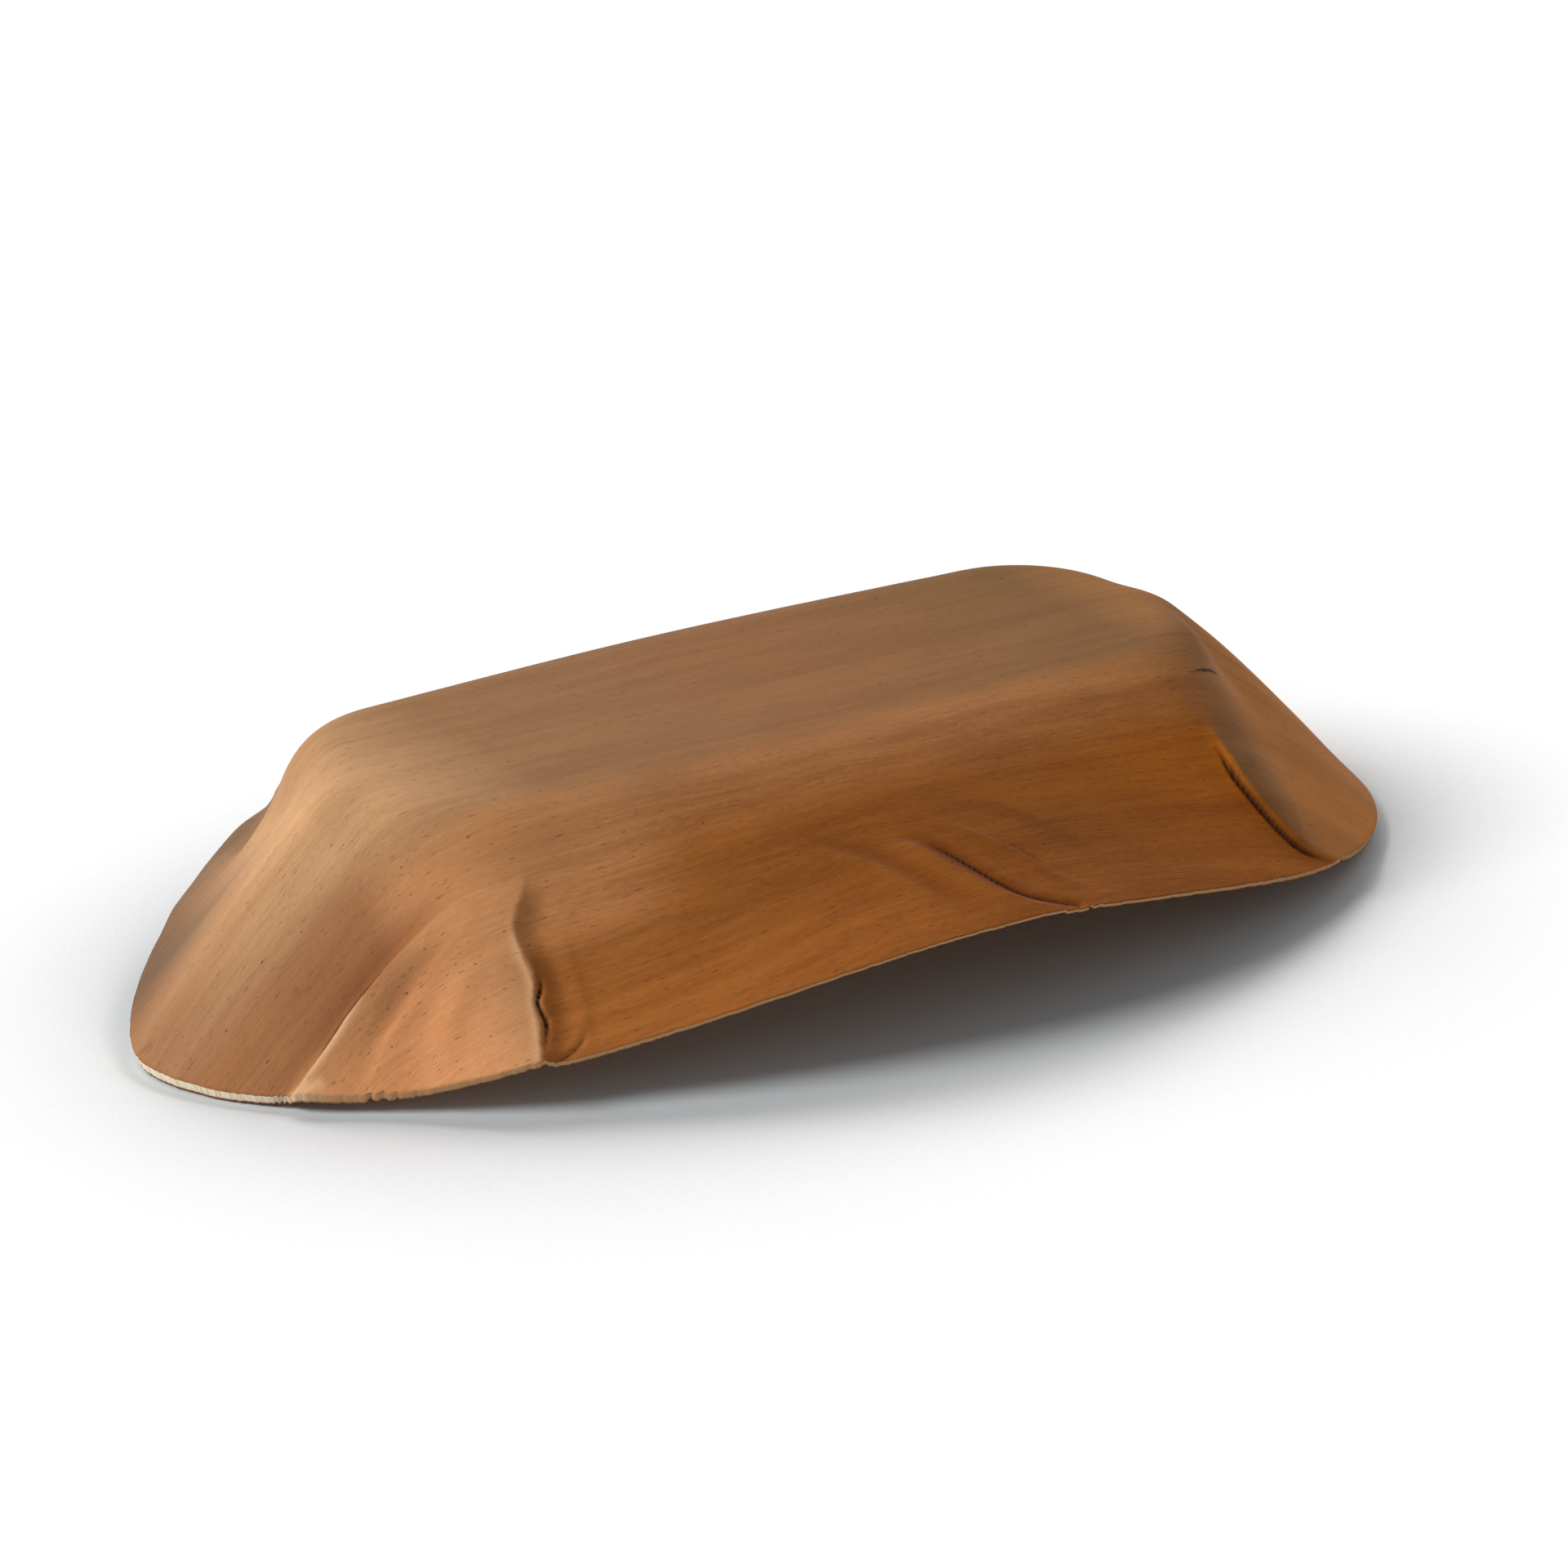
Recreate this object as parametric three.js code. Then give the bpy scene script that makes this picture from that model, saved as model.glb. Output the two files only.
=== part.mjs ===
// Palm leaf dish: one areca palm leaf sheath, hot-pressed into a shallow boat-shaped dish and trimmed
// round the rim. It lies face down, as it is stacked and dried: flat base on top, hollow open below.
// Millimetres, +Z up. The origin is on the surface the dish lies on, below the middle of its outline.
// +X runs along the leaf's fibres, and -Y is the near long side.
import * as THREE from "three";

// Overall sizes
const rimLength = 240; // over both ends of the rim
const rimWidth = 129; // over both long sides of the rim
const wallHeight = 39.7; // from the rim's outer edge at the ends to the outer face of the base

// Base: a flat field with rounded corners, bent down into the walls
const baseLength = 161;
const baseWidth = 56;
const baseCornerRadius = 20;
const baseShift = 3.6; // the base lies this much nearer the far long side
const sideBendReach = 7.6; // half width of the bend between base and long wall
const endBendReach = 6.5; // half width of the bend between base and end wall

// Leaf: thick along its middle, thin at its margins, which lie on the long sides
const leafThickMiddle = 2.4;
const leafThickMargin = 1.1;

// Rim: each quarter is one free curve from the middle of a long side to the middle of an end, because
// each corner is trimmed and springs back a little differently. The curve leaves both middles straight;
// sideReach and endReach say how far from the dish's middle lines that straight pull goes.
// cornerLift raises or lowers the rim at the corner.
const rimCorners = {
  farRight: { alongX: 1, alongY: 1, sideReach: 59, endReach: 36, cornerLift: -1.2 },
  nearRight: { alongX: 1, alongY: -1, sideReach: 67, endReach: 36, cornerLift: -5.2 },
  nearLeft: { alongX: -1, alongY: -1, sideReach: 62, endReach: 28, cornerLift: -5.5 },
  farLeft: { alongX: -1, alongY: 1, sideReach: 63, endReach: 21, cornerLift: 3.4 },
};
const nearArchRise = 17.8; // how much higher the near long rim stands at its middle than at the ends
const farArchRise = 18.9;
const cutLean = 0.5; // direction of the trimming cut: 0 is square to the leaf, 1 is straight down

// Wall profile: the share of the height is the share of the way out to this power.
// Over 1 the wall bulges out, under 1 it falls steeply first and then flares.
const sideWallPower = 1.02;
const endWallPower = 1.12;
const cornerWallPower = { farRight: 0.82, nearRight: 0.79, nearLeft: 0.79, farLeft: 0.67 };

// Faces of the mesh
const columnsPerSideHalf = 8;
const columnsPerCorner = 16;
const columnsPerEndHalf = 8;
const bendRows = 4;
const wallRows = 11;

// Positions on the leaf. "around" goes once round the dish in 12 steps, clockwise from above, and starts
// at the middle of the far long side: each quarter has a half side, a corner and a half end.
// "down" is the share of the way from the base's edge, 0, to the rim, 1.
const stretchesAround = 12;
const stretchesPerQuarter = 3;
const quarters = ["farRight", "nearRight", "nearLeft", "farLeft"];

// Folds, where the flat leaf gathered as it was forced into the corners and ends. A path holds
// [around, down] points of the crest, from base to rim. The crest stands out by height and falls back
// over leftReach and rightReach, on the left and right of someone who walks down it on the outside.
const folds = [
  // Near left corner: a crisp crest, lapped over the side wall
  {
    path: [[7.08, 0.17], [7.24, 0.42], [7.28, 0.6], [7.3, 0.8], [7.3, 1]],
    height: 2.5,
    leftReach: 4.5,
    rightReach: 22,
    leftAtRim: 0.95,
  },
  // Left end wall: a fold whose near side stands proud
  {
    path: [[7.4, 0.16], [7.78, 0.42], [8.03, 0.71], [8.16, 1]],
    height: 1.5,
    leftReach: 11,
    rightReach: 5,
  },
  // Near right corner: the end wall rolls over the side wall
  {
    path: [[4.67, 0.2], [4.75, 0.45], [4.68, 0.67], [4.575, 0.86], [4.4, 1]],
    height: 2.2,
    leftReach: 20,
    rightReach: 5,
  },
  // Far right corner
  { path: [[1.15, 0.2], [1.2, 0.6], [1.17, 1]], height: 1.4, leftReach: 6, rightReach: 9 },
  // Far left corner
  { path: [[10.9, 0.25], [10.85, 0.6], [10.8, 1]], height: 1.2, leftReach: 9, rightReach: 6 },
  // Near long wall: a shallow wrinkle above the rim
  {
    path: [[6.12, 0.49], [5.96, 0.69], [5.83, 0.87], [5.66, 1]],
    height: 0.9,
    leftReach: 5,
    rightReach: 6,
  },
];
const foldFadeIn = 0.35; // share of a fold's length over which it rises out of the wall
const foldFadeOut = 0.3; // share of its length over which it flattens again towards the rim
const foldLeftAtRim = 0.35; // share of its height that is left at the rim, where a fold gives no own one
const pathSamples = 40;

// Worked-out sizes
const halfLength = rimLength / 2;
const halfWidth = rimWidth / 2;
const baseHalfLength = baseLength / 2;
const baseHalfWidth = baseWidth / 2;

const { clamp, smoothstep, lerp } = THREE.MathUtils;

// Where a position around the dish falls: the name of its quarter, and the share of the way through
// that quarter from the middle of the long side, 0, to the middle of the end, 1.
function quarterAt(around) {
  const index = Math.floor(around / stretchesPerQuarter) % quarters.length;
  const along = around / stretchesPerQuarter - Math.floor(around / stretchesPerQuarter);
  return { name: quarters[index], share: index % 2 === 0 ? along : 1 - along };
}

// The rim's outer edge, with the surface the dish lies on at height 0.
const rimCurves = {};
for (const [name, corner] of Object.entries(rimCorners)) {
  const archRise = corner.alongY < 0 ? nearArchRise : farArchRise;
  const point = (x, y, z) => new THREE.Vector3(corner.alongX * x, corner.alongY * y, z);
  rimCurves[name] = new THREE.CubicBezierCurve3(
    point(0, halfWidth, archRise),
    point(corner.sideReach, halfWidth, archRise),
    point(halfLength, corner.endReach, 0),
    point(halfLength, 0, 0),
  );
}

function rimPointAt(around) {
  const { name, share } = quarterAt(around);
  const point = rimCurves[name].getPoint(share);
  const nearCorner = (4 * share * (1 - share)) ** 2;
  point.z += rimCorners[name].cornerLift * nearCorner;
  return point;
}

// The base's outline, one curve for each stretch of "around".
function baseOutline() {
  const a = baseHalfLength;
  const b = baseHalfWidth;
  const round = baseCornerRadius;
  const path = new THREE.Path();
  quarters.forEach((name, index) => {
    const { alongX, alongY } = rimCorners[name];
    const point = (x, y) => new THREE.Vector2(alongX * x, alongY * y);
    const stops = [point(0, b), point(a - round, b), point(a, b - round), point(a, 0)];
    if (index % 2 === 1) stops.reverse();
    const center = point(a - round, b - round);
    const startAngle = (Math.PI / 2) * (1 - index);
    const stopAngle = startAngle - Math.PI / 2;
    const arc = new THREE.EllipseCurve(center.x, center.y, round, round, startAngle, stopAngle, true);
    path.curves.push(
      new THREE.LineCurve(stops[0], stops[1]),
      arc,
      new THREE.LineCurve(stops[2], stops[3]),
    );
  });
  return path;
}

// A position around the base's outline. The pace along it changes smoothly from curve to curve, so that
// the wall drawn between base and rim has no crease where a line meets an arc.
const basePath = baseOutline();
const baseStarts = [0, ...basePath.getCurveLengths()];
const baseStretchLength = (stretch) => baseStarts[stretch + 1] - baseStarts[stretch];

function basePaceAt(stretch) {
  const after = baseStretchLength(stretch % stretchesAround);
  const before = baseStretchLength((stretch + stretchesAround - 1) % stretchesAround);
  return (2 * before * after) / (before + after);
}

function basePointAt(around) {
  const stretch = Math.floor(around) % stretchesAround;
  const t = around - Math.floor(around);
  const distance =
    baseStarts[stretch] +
    baseStretchLength(stretch) * (3 - 2 * t) * t ** 2 +
    basePaceAt(stretch) * t * (1 - t) ** 2 -
    basePaceAt(stretch + 1) * t ** 2 * (1 - t);
  const { x, y } = basePath.getPoint(distance / basePath.getLength());
  return new THREE.Vector3(x, y + baseShift, wallHeight);
}

// Everything that is the same all the way down one column of the wall.
function columnAt(around) {
  const { name, share } = quarterAt(around);
  const edge = basePointAt(around);
  const foot = rimPointAt(around);
  const endShare = smoothstep(share, 0, 1);
  const cornerShare = Math.sin(Math.PI * share) ** 2;
  const straightPower = lerp(sideWallPower, endWallPower, endShare);
  const bendReach = lerp(sideBendReach, endBendReach, endShare);
  const spineHalf = baseHalfLength - baseHalfWidth;
  const inward = new THREE.Vector3(clamp(edge.x, -spineHalf, spineHalf), baseShift, wallHeight);
  inward.sub(edge).setLength(bendReach);
  return {
    edge,
    foot,
    power: lerp(straightPower, cornerWallPower[name], cornerShare),
    bendStart: edge.clone().add(inward),
    bendShare: bendReach / edge.distanceTo(foot),
  };
}

function wallPoint(column, down) {
  const point = column.edge.clone().lerp(column.foot, down);
  point.z = wallHeight - (wallHeight - column.foot.z) * down ** column.power;
  return point;
}

// Rows of one column on the smooth outer face, from the edge of the flat base to the rim.
function smoothColumn(around) {
  const column = columnAt(around);
  const bendStop = wallPoint(column, column.bendShare);
  const bend = new THREE.QuadraticBezierCurve3(column.bendStart, column.edge, bendStop);
  const rows = [];
  for (let row = 0; row <= bendRows; row += 1) rows.push(bend.getPoint(row / bendRows));
  for (let row = 1; row <= wallRows; row += 1) {
    rows.push(wallPoint(column, lerp(column.bendShare, 1, row / wallRows)));
  }
  return rows;
}

// Positions of the columns, closer together where the outline turns.
function columnPositions() {
  const counts = { side: columnsPerSideHalf, corner: columnsPerCorner, end: columnsPerEndHalf };
  const quarterOrder = ["side", "corner", "end"];
  const positions = [];
  quarters.forEach((name, index) => {
    const order = index % 2 === 0 ? quarterOrder : [...quarterOrder].reverse();
    order.forEach((kind, step) => {
      const start = index * stretchesPerQuarter + step;
      for (let column = 0; column < counts[kind]; column += 1) {
        positions.push(start + column / counts[kind]);
      }
    });
  });
  return positions;
}

// Outward normals of the smooth face, from its neighbours in the grid.
function gridNormals(grid) {
  const columns = grid.length;
  return grid.map((column, c) =>
    column.map((point, row) => {
      if (row === 0) return new THREE.Vector3(0, 0, 1);
      const before = grid[(c + columns - 1) % columns][row];
      const after = grid[(c + 1) % columns][row];
      const above = column[row - 1];
      const below = column[Math.min(row + 1, column.length - 1)];
      const alongRim = after.clone().sub(before);
      const downWall = below.clone().sub(above);
      return downWall.cross(alongRim).normalize().negate();
    }),
  );
}

// A fold's crest as a curve on the smooth wall, sampled with its directions.
function foldCrest(fold) {
  const points = fold.path.map(([around, down]) => wallPoint(columnAt(around), down));
  const curve = new THREE.CatmullRomCurve3(points);
  return Array.from({ length: pathSamples + 1 }, (_, sample) => ({
    share: sample / pathSamples,
    point: curve.getPoint(sample / pathSamples),
    tangent: curve.getTangent(sample / pathSamples),
  }));
}
const crests = folds.map((fold) => ({ ...fold, samples: foldCrest(fold) }));

// How far all folds push the leaf out at one point of the smooth face.
function foldPush(point, normal) {
  let push = 0;
  for (const fold of crests) {
    let nearest = fold.samples[0];
    for (const sample of fold.samples) {
      if (sample.point.distanceToSquared(point) < nearest.point.distanceToSquared(point)) nearest = sample;
    }
    const offset = point.clone().sub(nearest.point);
    const isRight = offset.clone().cross(nearest.tangent).dot(normal) > 0;
    const width = isRight ? fold.rightReach : fold.leftReach;
    const across = 1 - smoothstep(offset.length(), 0, width);
    const fadeIn = smoothstep(nearest.share, 0, foldFadeIn);
    const leftAtRim = fold.leftAtRim ?? foldLeftAtRim;
    const fadeOut = lerp(1, leftAtRim, smoothstep(nearest.share, 1 - foldFadeOut, 1));
    push += fold.height * across * fadeIn * fadeOut;
  }
  return push;
}

function leafThickness(y) {
  const fromMiddle = clamp(Math.abs(y) / halfWidth, 0, 1);
  return lerp(leafThickMiddle, leafThickMargin, fromMiddle ** 2);
}

// Outer and inner faces of the leaf, column by column from the base's edge to the rim.
function leafFaces() {
  const smooth = columnPositions().map((around) => smoothColumn(around));
  const normals = gridNormals(smooth);
  const lastRow = bendRows + wallRows;
  const outer = [];
  const inner = [];
  smooth.forEach((column, c) => {
    outer.push([]);
    inner.push([]);
    column.forEach((point, row) => {
      const normal = normals[c][row];
      const push = row === 0 ? 0 : foldPush(point, normal);
      const outside = point.clone().addScaledVector(normal, push);
      const thickness = leafThickness(point.y);
      const isRim = row === lastRow;
      const through = isRim
        ? normal.clone().lerp(new THREE.Vector3(0, 0, 1), cutLean).normalize()
        : normal;
      const inside = outside.clone().addScaledVector(through, -thickness / through.dot(normal));
      outer[c].push(outside);
      inner[c].push(inside);
    });
  });
  return { outer, inner };
}

// One closed skin: outer base, outer wall, cut rim, inner wall, inner base.
function leafGeometry() {
  const { outer, inner } = leafFaces();
  const columns = outer.length;
  const rings = [];
  const rowCount = outer[0].length;
  for (let row = 0; row < rowCount; row += 1) rings.push(outer.map((column) => column[row]));
  for (let row = rowCount - 1; row >= 0; row -= 1) rings.push(inner.map((column) => column[row]));

  const baseMiddle = new THREE.Vector3(0, baseShift, wallHeight);
  const hollowMiddle = baseMiddle.clone();
  hollowMiddle.z -= leafThickness(baseShift);
  const points = [baseMiddle, ...rings.flat(), hollowMiddle];
  const vertexAt = (ring, column) => 1 + ring * columns + (column % columns);
  const lastVertex = points.length - 1;

  const faces = [];
  for (let column = 0; column < columns; column += 1) {
    faces.push(0, vertexAt(0, column + 1), vertexAt(0, column));
    for (let ring = 0; ring < rings.length - 1; ring += 1) {
      const upperLeft = vertexAt(ring, column);
      const upperRight = vertexAt(ring, column + 1);
      const lowerLeft = vertexAt(ring + 1, column);
      const lowerRight = vertexAt(ring + 1, column + 1);
      faces.push(upperLeft, upperRight, lowerRight, upperLeft, lowerRight, lowerLeft);
    }
    const lastRing = rings.length - 1;
    faces.push(lastVertex, vertexAt(lastRing, column), vertexAt(lastRing, column + 1));
  }

  const geometry = new THREE.BufferGeometry().setFromPoints(points);
  geometry.setIndex(faces);
  return geometry;
}

// Stands the dish on its lowest edge, with its box centred over the origin.
function standOnOrigin(geometry) {
  geometry.computeBoundingBox();
  const { min, max } = geometry.boundingBox;
  geometry.translate(-(min.x + max.x) / 2, -(min.y + max.y) / 2, -min.z);
  geometry.computeVertexNormals();
  return geometry;
}

// Pressed leaf: warm brown, dull, with no coating
const pressedLeaf = new THREE.MeshStandardMaterial({
  color: new THREE.Color(0.3, 0.125, 0.045),
  roughness: 0.75,
  metalness: 0,
});

const dish = new THREE.Group();
const leaf = new THREE.Mesh(standOnOrigin(leafGeometry()), pressedLeaf);
leaf.name = "pressed_leaf_dish";
dish.add(leaf);

export default dish;
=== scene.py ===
# %% [markdown]
# # A pressed palm leaf dish
# The real dish is one sheath of an areca palm leaf, softened in water, pressed hot between two moulds
# and trimmed round the rim. Nothing is joined to it, so the whole lesson builds one closed sheet of
# leaf, lying face down on a white table, and then gives it the look of pressed leaf.
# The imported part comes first. Its box is kept, because the finished leaf has to stay inside it.

import math
from dataclasses import dataclass, replace

import bpy
import numpy as np
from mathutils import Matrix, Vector
from mathutils.bvhtree import BVHTree


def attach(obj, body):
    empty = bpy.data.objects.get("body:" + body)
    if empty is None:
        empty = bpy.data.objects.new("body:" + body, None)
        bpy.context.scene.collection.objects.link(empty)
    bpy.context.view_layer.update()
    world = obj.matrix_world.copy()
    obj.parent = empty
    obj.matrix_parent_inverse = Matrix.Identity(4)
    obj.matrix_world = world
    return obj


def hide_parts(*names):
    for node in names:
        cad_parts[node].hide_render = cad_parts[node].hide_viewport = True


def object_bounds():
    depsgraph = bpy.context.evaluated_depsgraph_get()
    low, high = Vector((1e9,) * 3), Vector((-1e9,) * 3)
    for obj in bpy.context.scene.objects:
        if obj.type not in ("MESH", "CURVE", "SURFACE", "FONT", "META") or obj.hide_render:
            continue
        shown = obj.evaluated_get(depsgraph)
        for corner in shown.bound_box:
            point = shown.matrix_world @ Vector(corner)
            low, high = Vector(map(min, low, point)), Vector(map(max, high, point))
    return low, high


MM = 0.001  # metres in a millimetre

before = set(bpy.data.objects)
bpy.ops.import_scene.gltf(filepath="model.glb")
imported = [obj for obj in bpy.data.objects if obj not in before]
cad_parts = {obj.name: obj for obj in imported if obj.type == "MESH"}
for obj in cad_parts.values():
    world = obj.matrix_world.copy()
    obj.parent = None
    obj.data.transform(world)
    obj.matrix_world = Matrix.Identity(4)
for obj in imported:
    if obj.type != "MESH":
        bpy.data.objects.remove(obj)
cad_box = [[float(value) for value in corner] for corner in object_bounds()]
print("packed part, mm:", [round((high - low) / MM, 2) for low, high in zip(*cad_box)])

# %% [markdown]
# ## The camera
# A long lens from over a metre away shows the near long side and the left end, and looks down on the
# flat base at a shallow angle. The camera is placed from those angles, a distance and a small offset,
# because these are the numbers that a photographer would set.

# %% Camera
view_turn = math.radians(33.51)  # how far the camera stands to the left of the dish's middle
view_tilt = math.radians(21.66)  # how far it looks down
view_distance = 1207.0  # mm
view_offset_right = -4.87  # mm that the dish's middle lies to the right of the frame's middle
view_offset_up = -1.43
view_target = np.array([0.0, 3.62, 21.6])
sensor_width = 36.0
frame_pixels = 1920
focal_pixels = 8778.0

view_right = np.array([math.cos(view_turn), -math.sin(view_turn), 0.0])
view_forward = np.array([
    math.sin(view_turn) * math.cos(view_tilt),
    math.cos(view_turn) * math.cos(view_tilt),
    -math.sin(view_tilt),
])
view_up = np.cross(view_right, view_forward)
view_place = (
    view_target
    - view_offset_right * view_right
    - view_offset_up * view_up
    - view_distance * view_forward
)

camera = bpy.data.objects.new("camera", bpy.data.cameras.new("camera"))
bpy.context.scene.collection.objects.link(camera)
camera.location = view_place * MM
camera.rotation_euler = Vector(view_forward).to_track_quat("-Z", "Y").to_euler()
camera.data.sensor_width = sensor_width
camera.data.lens = focal_pixels / frame_pixels * sensor_width
bpy.context.scene.camera = camera
print("camera at, mm:", view_place.round(0), "lens:", round(camera.data.lens, 1))

# %% [markdown]
# ## The rim
# On the real dish the rim is trimmed by hand-set shears, so each quarter runs a little differently. A
# free curve for each quarter, from the middle of a long side to the middle of an end, gives that with
# four numbers. "Around" counts 12 steps clockwise from the middle of the far long side, three to a
# quarter, and both outlines and all folds are placed by it.

# %% Rim outline
rim_length = 240.0
rim_width = 129.0
wall_height = 39.7
near_arch_rise = 17.8
far_arch_rise = 18.9
steps_around = 12
steps_per_quarter = 3

# Quarters in order: far right, near right, near left, far left
quarter_sign = np.array([[1, 1], [1, -1], [-1, -1], [-1, 1]])
side_reach = np.array([59.0, 67.0, 62.0, 63.0])
end_reach = np.array([36.0, 36.0, 28.0, 21.0])
corner_lift = np.array([-1.2, -5.2, -5.5, 3.4])


def smoothstep(value, low=0.0, high=1.0):
    share = np.clip((value - low) / (high - low), 0.0, 1.0)
    return share * share * (3.0 - 2.0 * share)


def quarter_at(around):
    """Which quarter each place is in, and its share of the way from long side to end."""
    turns = np.asarray(around, float) / steps_per_quarter
    quarter = np.floor(turns).astype(int) % 4
    share = turns - np.floor(turns)
    return quarter, np.where(quarter % 2 == 0, share, 1.0 - share)


def rim_at(around):
    """Outer edge of the rim, with the dish's resting height at 0."""
    quarter, share = quarter_at(around)
    sign_x, sign_y = quarter_sign[quarter].T
    rise = np.where(sign_y < 0, near_arch_rise, far_arch_rise)
    back = 1.0 - share
    pull_side = 3.0 * share * back**2
    pull_end = 3.0 * share**2 * back
    x = sign_x * (pull_side * side_reach[quarter] + (pull_end + share**3) * rim_length / 2)
    y = sign_y * ((back**3 + pull_side) * rim_width / 2 + pull_end * end_reach[quarter])
    z = (back**3 + pull_side) * rise + corner_lift[quarter] * (4.0 * share * back) ** 2
    return np.stack([x, y, z], axis=-1)


print("rim at the four middles, mm:", rim_at([0, 3, 6, 9]).round(1).tolist())

# %% [markdown]
# ## The base outline
# The mould's flat plate is a rectangle with round corners. Points along it must move at a pace that
# changes smoothly, or the wall drawn between base and rim gets a crease where a line meets an arc. So
# the outline is measured once as a fine polyline, and read by distance.

# %% Base outline
base_length = 161.0
base_width = 56.0
base_corner_radius = 20.0
base_shift = 3.6
arc_samples = 200


def base_quarter(quarter):
    """The three stretches of one quarter of the outline, in the order of "around"."""
    line_x = base_length / 2 - base_corner_radius
    line_y = base_width / 2 - base_corner_radius
    angle = np.linspace(math.pi / 2, 0.0, arc_samples)
    arc_x = line_x + base_corner_radius * np.cos(angle)
    arc_y = line_y + base_corner_radius * np.sin(angle)
    side = np.array([[0.0, base_width / 2], [line_x, base_width / 2]])
    arc = np.stack([arc_x, arc_y], axis=-1)
    end = np.array([[base_length / 2, line_y], [base_length / 2, 0.0]])
    stretches = [stretch * quarter_sign[quarter] for stretch in (side, arc, end)]
    if quarter % 2:
        stretches = [stretch[::-1] for stretch in stretches[::-1]]
    return stretches


base_stretches = [stretch for quarter in range(4) for stretch in base_quarter(quarter)]
stretch_length = np.array([
    np.linalg.norm(np.diff(stretch, axis=0), axis=1).sum() for stretch in base_stretches
])
stretch_start = np.concatenate([[0.0], np.cumsum(stretch_length)])
length_before = np.roll(stretch_length, 1)
pace = 2.0 * length_before * stretch_length / (length_before + stretch_length)
outline = np.concatenate(base_stretches + [base_stretches[0][:1]])
outline_distance = np.concatenate(
    [[0.0], np.cumsum(np.linalg.norm(np.diff(outline, axis=0), axis=1))]
)


def base_at(around):
    """Edge of the base, before the bend into the wall is rounded."""
    stretch = np.floor(around).astype(int) % steps_around
    part = around - np.floor(around)
    distance = (
        stretch_start[stretch]
        + stretch_length[stretch] * (3.0 - 2.0 * part) * part**2
        + pace[stretch] * part * (1.0 - part) ** 2
        - pace[(stretch + 1) % steps_around] * part**2 * (1.0 - part)
    )
    x = np.interp(distance, outline_distance, outline[:, 0])
    y = np.interp(distance, outline_distance, outline[:, 1]) + base_shift
    return np.stack([x, y, np.full_like(x, wall_height)], axis=-1)


print("base outline, mm:", round(float(stretch_start[-1]), 1), "round")

# %% [markdown]
# ## The smooth wall
# Between base and rim the leaf is nearly a ruled sheet. A power curve down each column gives the end
# walls their slight belly and the corners their flare, and a curved bend of a few millimetres joins
# the wall to the base. A wall drawn from such sections is exact everywhere, which sculpting isn't.

# %% Wall profile
side_wall_power = 1.02
end_wall_power = 1.12
corner_wall_power = np.array([0.82, 0.79, 0.79, 0.67])
side_bend_reach = 7.6
end_bend_reach = 6.5


class Columns:
    """Where the wall starts, how it falls and where it ends, for each place around."""

    def __init__(self, around):
        around = np.asarray(around, float)
        quarter, share = quarter_at(around)
        end_share = smoothstep(share)
        corner_share = np.sin(math.pi * share) ** 2
        straight_power = side_wall_power + (end_wall_power - side_wall_power) * end_share
        self.edge = base_at(around)
        self.foot = rim_at(around)
        self.power = straight_power + (corner_wall_power[quarter] - straight_power) * corner_share
        reach = side_bend_reach + (end_bend_reach - side_bend_reach) * end_share
        spine_half = (base_length - base_width) / 2
        inward = np.zeros_like(self.edge)
        inward[:, 0] = np.clip(self.edge[:, 0], -spine_half, spine_half) - self.edge[:, 0]
        inward[:, 1] = base_shift - self.edge[:, 1]
        inward *= (reach / np.linalg.norm(inward, axis=1))[:, None]
        self.bend_start = self.edge + inward
        self.bend_share = reach / np.linalg.norm(self.foot - self.edge, axis=1)

    def wall(self, down):
        """Points on the wall at a share of the way out, from 0 at the base's edge to 1."""
        point = self.edge + (self.foot - self.edge) * down[:, None]
        point[:, 2] = wall_height - (wall_height - self.foot[:, 2]) * down**self.power
        return point

    def surface(self, down):
        """Points on the outer face, where the wall begins with the bend."""
        part = np.clip(down / self.bend_share, 0.0, 1.0)[:, None]
        back = 1 - part
        bend_stop = self.wall(self.bend_share)
        bend = back**2 * self.bend_start + 2 * part * back * self.edge + part**2 * bend_stop
        return np.where(part < 1.0, bend, self.wall(down))


# %% [markdown]
# ## A grid that is finer where the leaf is folded
# The folds are under a millimetre wide at their edges, and the plain wall needs no such detail. So the
# columns stand closer together across the folds at two corners, the wrinkles of the near side and a
# curled mark at the left tip.

# %% Smooth outer face
plain_columns_per_step = 43
folded_columns_per_step = 110
folded_stretches = [(4.35, 4.95), (5.55, 6.25), (6.95, 8.3), (8.92, 9.1)]  # in steps around
stretch_margin = 0.15  # steps over which the columns draw together before a folded stretch
density_samples = 4801
bend_rows = 12
wall_rows = 88


def column_places():
    """Where the columns stand, in steps around, from how many each step should have."""
    fine = np.linspace(0.0, steps_around, density_samples)
    density = np.full_like(fine, plain_columns_per_step)
    for start, stop in folded_stretches:
        after_start = smoothstep(fine, start - stretch_margin, start)
        before_stop = smoothstep(-fine, -stop - stretch_margin, -stop)
        density += (folded_columns_per_step - plain_columns_per_step) * after_start * before_stop
    total = np.concatenate([[0.0], np.cumsum((density[1:] + density[:-1]) / 2 * np.diff(fine))])
    count = int(round(total[-1]))
    return np.interp(np.arange(count) / count * total[-1], total, fine)


places = column_places()
columns = Columns(places)
bend_down = np.linspace(0.0, 1.0, bend_rows + 1)[:, None] * columns.bend_share
wall_down = np.linspace(0.0, 1.0, wall_rows + 1)[1:, None]
wall_down = columns.bend_share + (1 - columns.bend_share) * wall_down
row_down = np.concatenate([bend_down, wall_down])
smooth_face = np.stack([columns.surface(down) for down in row_down])
print("outer face:", smooth_face.shape[0], "rows of", smooth_face.shape[1])

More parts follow.
